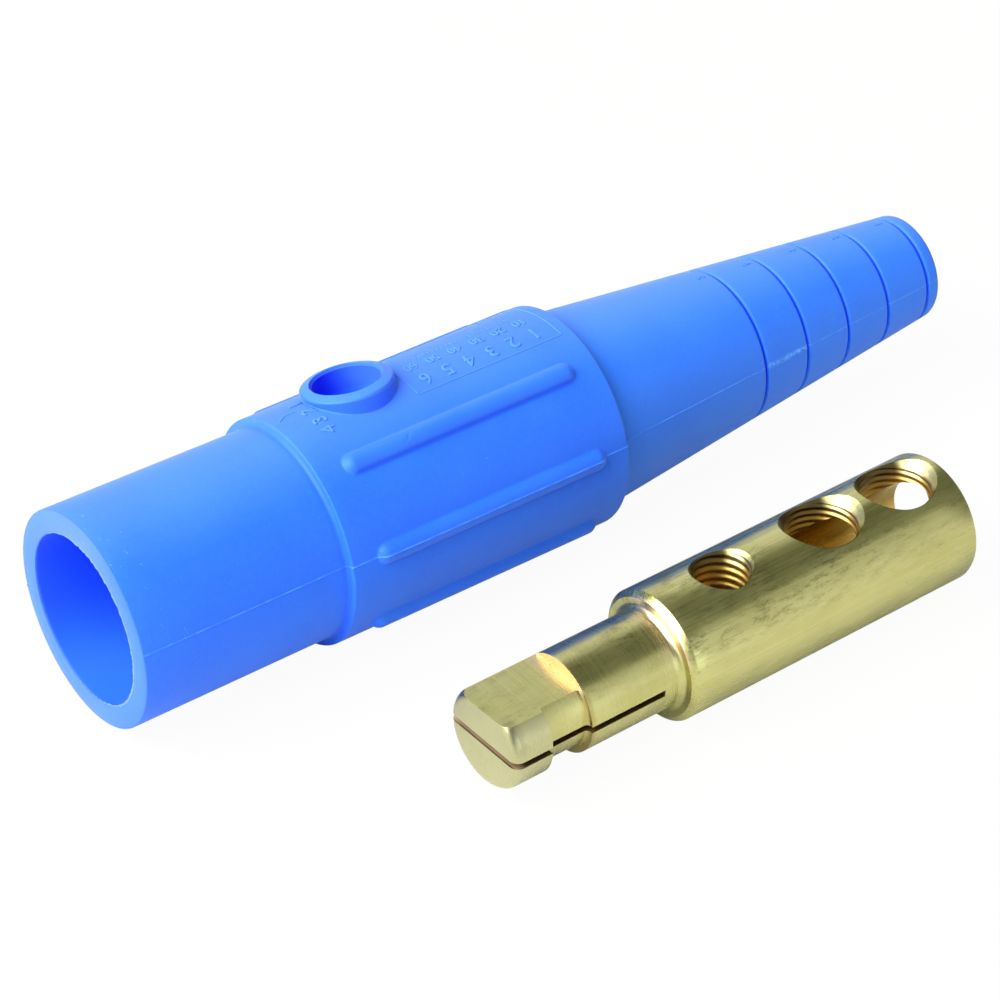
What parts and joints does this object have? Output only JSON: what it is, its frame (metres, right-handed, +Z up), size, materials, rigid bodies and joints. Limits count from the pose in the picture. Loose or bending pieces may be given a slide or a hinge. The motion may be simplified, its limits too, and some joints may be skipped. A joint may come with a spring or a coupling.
{
  "type": "cam-lock plug",
  "caption": "In-line cam-lock power plug: blue moulded sleeve with open mouth, ribbed barrel, screw collar and grooved tapered tail, lying beside its slotted brass contact.",
  "frame": {"origin": "centre of the base of the bounding box, on the floor that both pieces lie on", "axes": "+X along the sleeve's axis from its open mouth to its tail, +Z up, and the contact lies on the -Y side"},
  "size_m": [0.1914, 0.0938, 0.0469],
  "materials": {
    "sleeve_rubber": "matte, moulded",
    "contact_brass": "turned, lightly brushed"
  },
  "bodies": {
    "root": {"insulating_sleeve": "sleeve_rubber", "male_contact": "contact_brass"}
  },
  "joints": []
}
